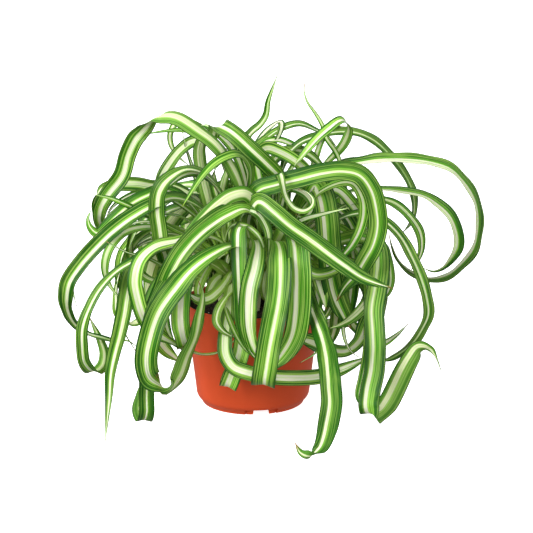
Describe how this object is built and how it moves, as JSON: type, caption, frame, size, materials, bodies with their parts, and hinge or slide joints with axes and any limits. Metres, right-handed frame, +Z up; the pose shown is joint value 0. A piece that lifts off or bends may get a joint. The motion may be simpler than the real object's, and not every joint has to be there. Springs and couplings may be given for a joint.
{
  "type": "potted spider plant",
  "caption": "Curly spider plant with long white-striped leaves that arch, loop and hang over a plain tapered terracotta-coloured plastic nursery pot.",
  "frame": {"origin": "on the ground, under the middle of the whole plant's box", "axes": "+Z up, -Y towards the side that the picture shows, +X to the right of it"},
  "size_m": [0.3984, 0.443, 0.3147],
  "materials": {
    "pot": "satin moulded plastic",
    "soil": "loose dark potting mix",
    "leaf": "waxy leaf, ivory stripe down the middle"
  },
  "bodies": {
    "root": {"pot": "pot", "soil": "soil", "rosette_front": "leaf", "rosette_left": "leaf", "rosette_right": "leaf", "rosette_back": "leaf"}
  },
  "joints": []
}
